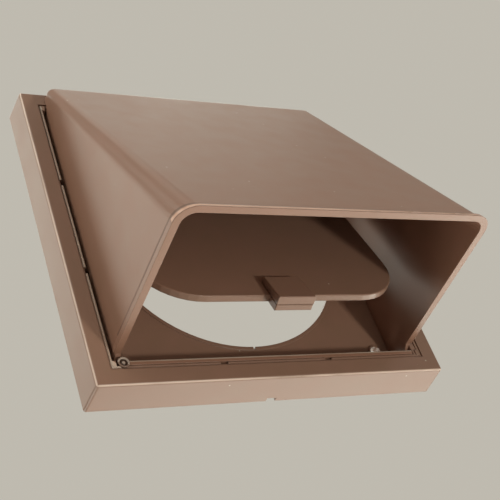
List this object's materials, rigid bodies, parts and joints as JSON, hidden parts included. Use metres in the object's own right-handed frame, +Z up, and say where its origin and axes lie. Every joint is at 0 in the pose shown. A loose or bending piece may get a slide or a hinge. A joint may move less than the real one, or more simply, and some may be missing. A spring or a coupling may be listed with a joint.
{
  "type": "wall vent cowl",
  "caption": "Square plastic wall vent cowl: sloping hood with its mouth facing down, hinged backdraught flap and a duct hole, on a snap-together wall plate and surround.",
  "frame": {"origin": "middle of the duct hole in the wall plane, the rear face of the back plate", "axes": "+X to the right seen from in front, +Y into the wall, +Z up; the hood stands out towards -Y"},
  "size_m": [0.15, 0.0871, 0.15],
  "materials": {
    "frame_plastic": "satin moulded brown plastic",
    "plate_plastic": "satin moulded brown plastic",
    "hood_plastic": "satin moulded brown plastic",
    "flap_plastic": "satin moulded brown plastic",
    "tab_plastic": "satin moulded brown plastic",
    "pin_steel": "bright drawn stainless wire"
  },
  "bodies": {
    "cowl": {"surround_frame": "frame_plastic", "back_plate": "plate_plastic", "cowl_hood": "hood_plastic", "flap_hinge_pin": "pin_steel"},
    "swinging_flap": {"flap": "flap_plastic", "flap_pull_tab": "tab_plastic"}
  },
  "joints": [
    {"name": "flap_swing", "type": "hinge", "parent": "cowl", "child": "swinging_flap", "pos_m": [0, -0.008, 0.0625], "axis": [-1, 0, 0], "range_deg": [-15, 17]}
  ]
}
